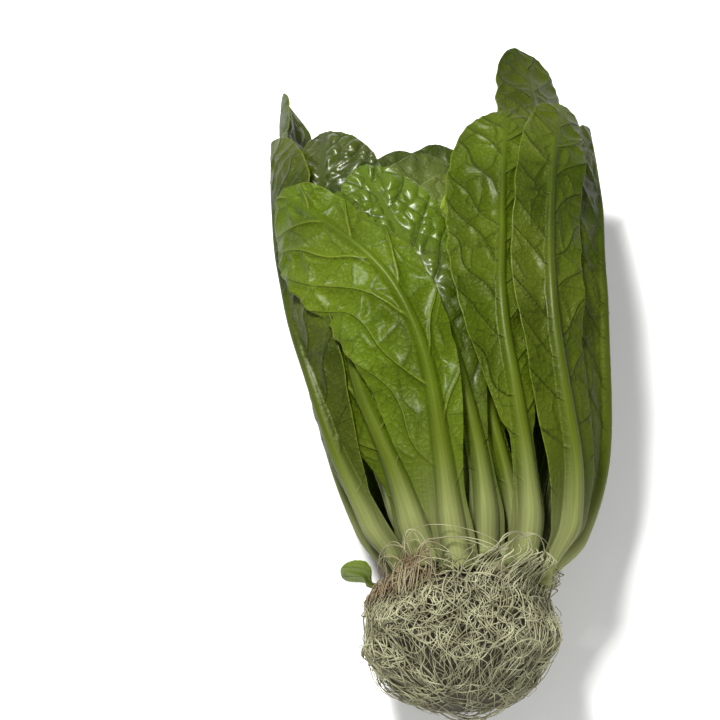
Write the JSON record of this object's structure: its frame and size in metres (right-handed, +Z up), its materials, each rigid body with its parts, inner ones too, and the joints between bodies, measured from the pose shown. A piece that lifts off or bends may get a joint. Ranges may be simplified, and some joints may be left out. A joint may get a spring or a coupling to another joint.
{
  "type": "romaine lettuce head",
  "caption": "Young romaine lettuce head lying on its back: long ribbed leaves in layers round a short crown, with its mat of roots.",
  "frame": {"origin": "on the surface the head lies on, under the middle of its bounding box", "axes": "+Y along the head from the roots to the leaf tips, +Z up, +X to the right seen from the roots"},
  "size_m": [0.1348, 0.2891, 0.0731],
  "materials": {
    "leaf": "waxy, blistered green leaf with paler ribs",
    "heart_leaf": "paler inner leaf",
    "crown": "moist pale stem",
    "roots": "fine dry fibrous roots"
  },
  "bodies": {
    "root": {"front_leaf_a": "leaf", "front_leaf_b": "leaf", "front_leaf_c": "leaf", "front_leaf_d": "leaf", "front_leaf_e": "leaf", "front_leaf_f": "leaf", "front_leaf_g": "leaf", "front_leaf_h": "leaf", "front_leaf_i": "leaf", "tall_leaf": "leaf", "back_leaf_a": "leaf", "back_leaf_b": "leaf", "back_leaf_c": "leaf", "back_leaf_d": "leaf", "back_leaf_e": "leaf", "back_leaf_f": "leaf", "back_leaf_g": "leaf", "back_leaf_h": "leaf", "heart_leaf_a": "heart_leaf", "heart_leaf_b": "heart_leaf", "heart_leaf_c": "heart_leaf", "heart_leaf_d": "heart_leaf", "heart_leaf_e": "heart_leaf", "heart_leaf_f": "heart_leaf", "first_leaf": "heart_leaf", "crown": "crown", "root_mat": "roots"}
  },
  "joints": []
}
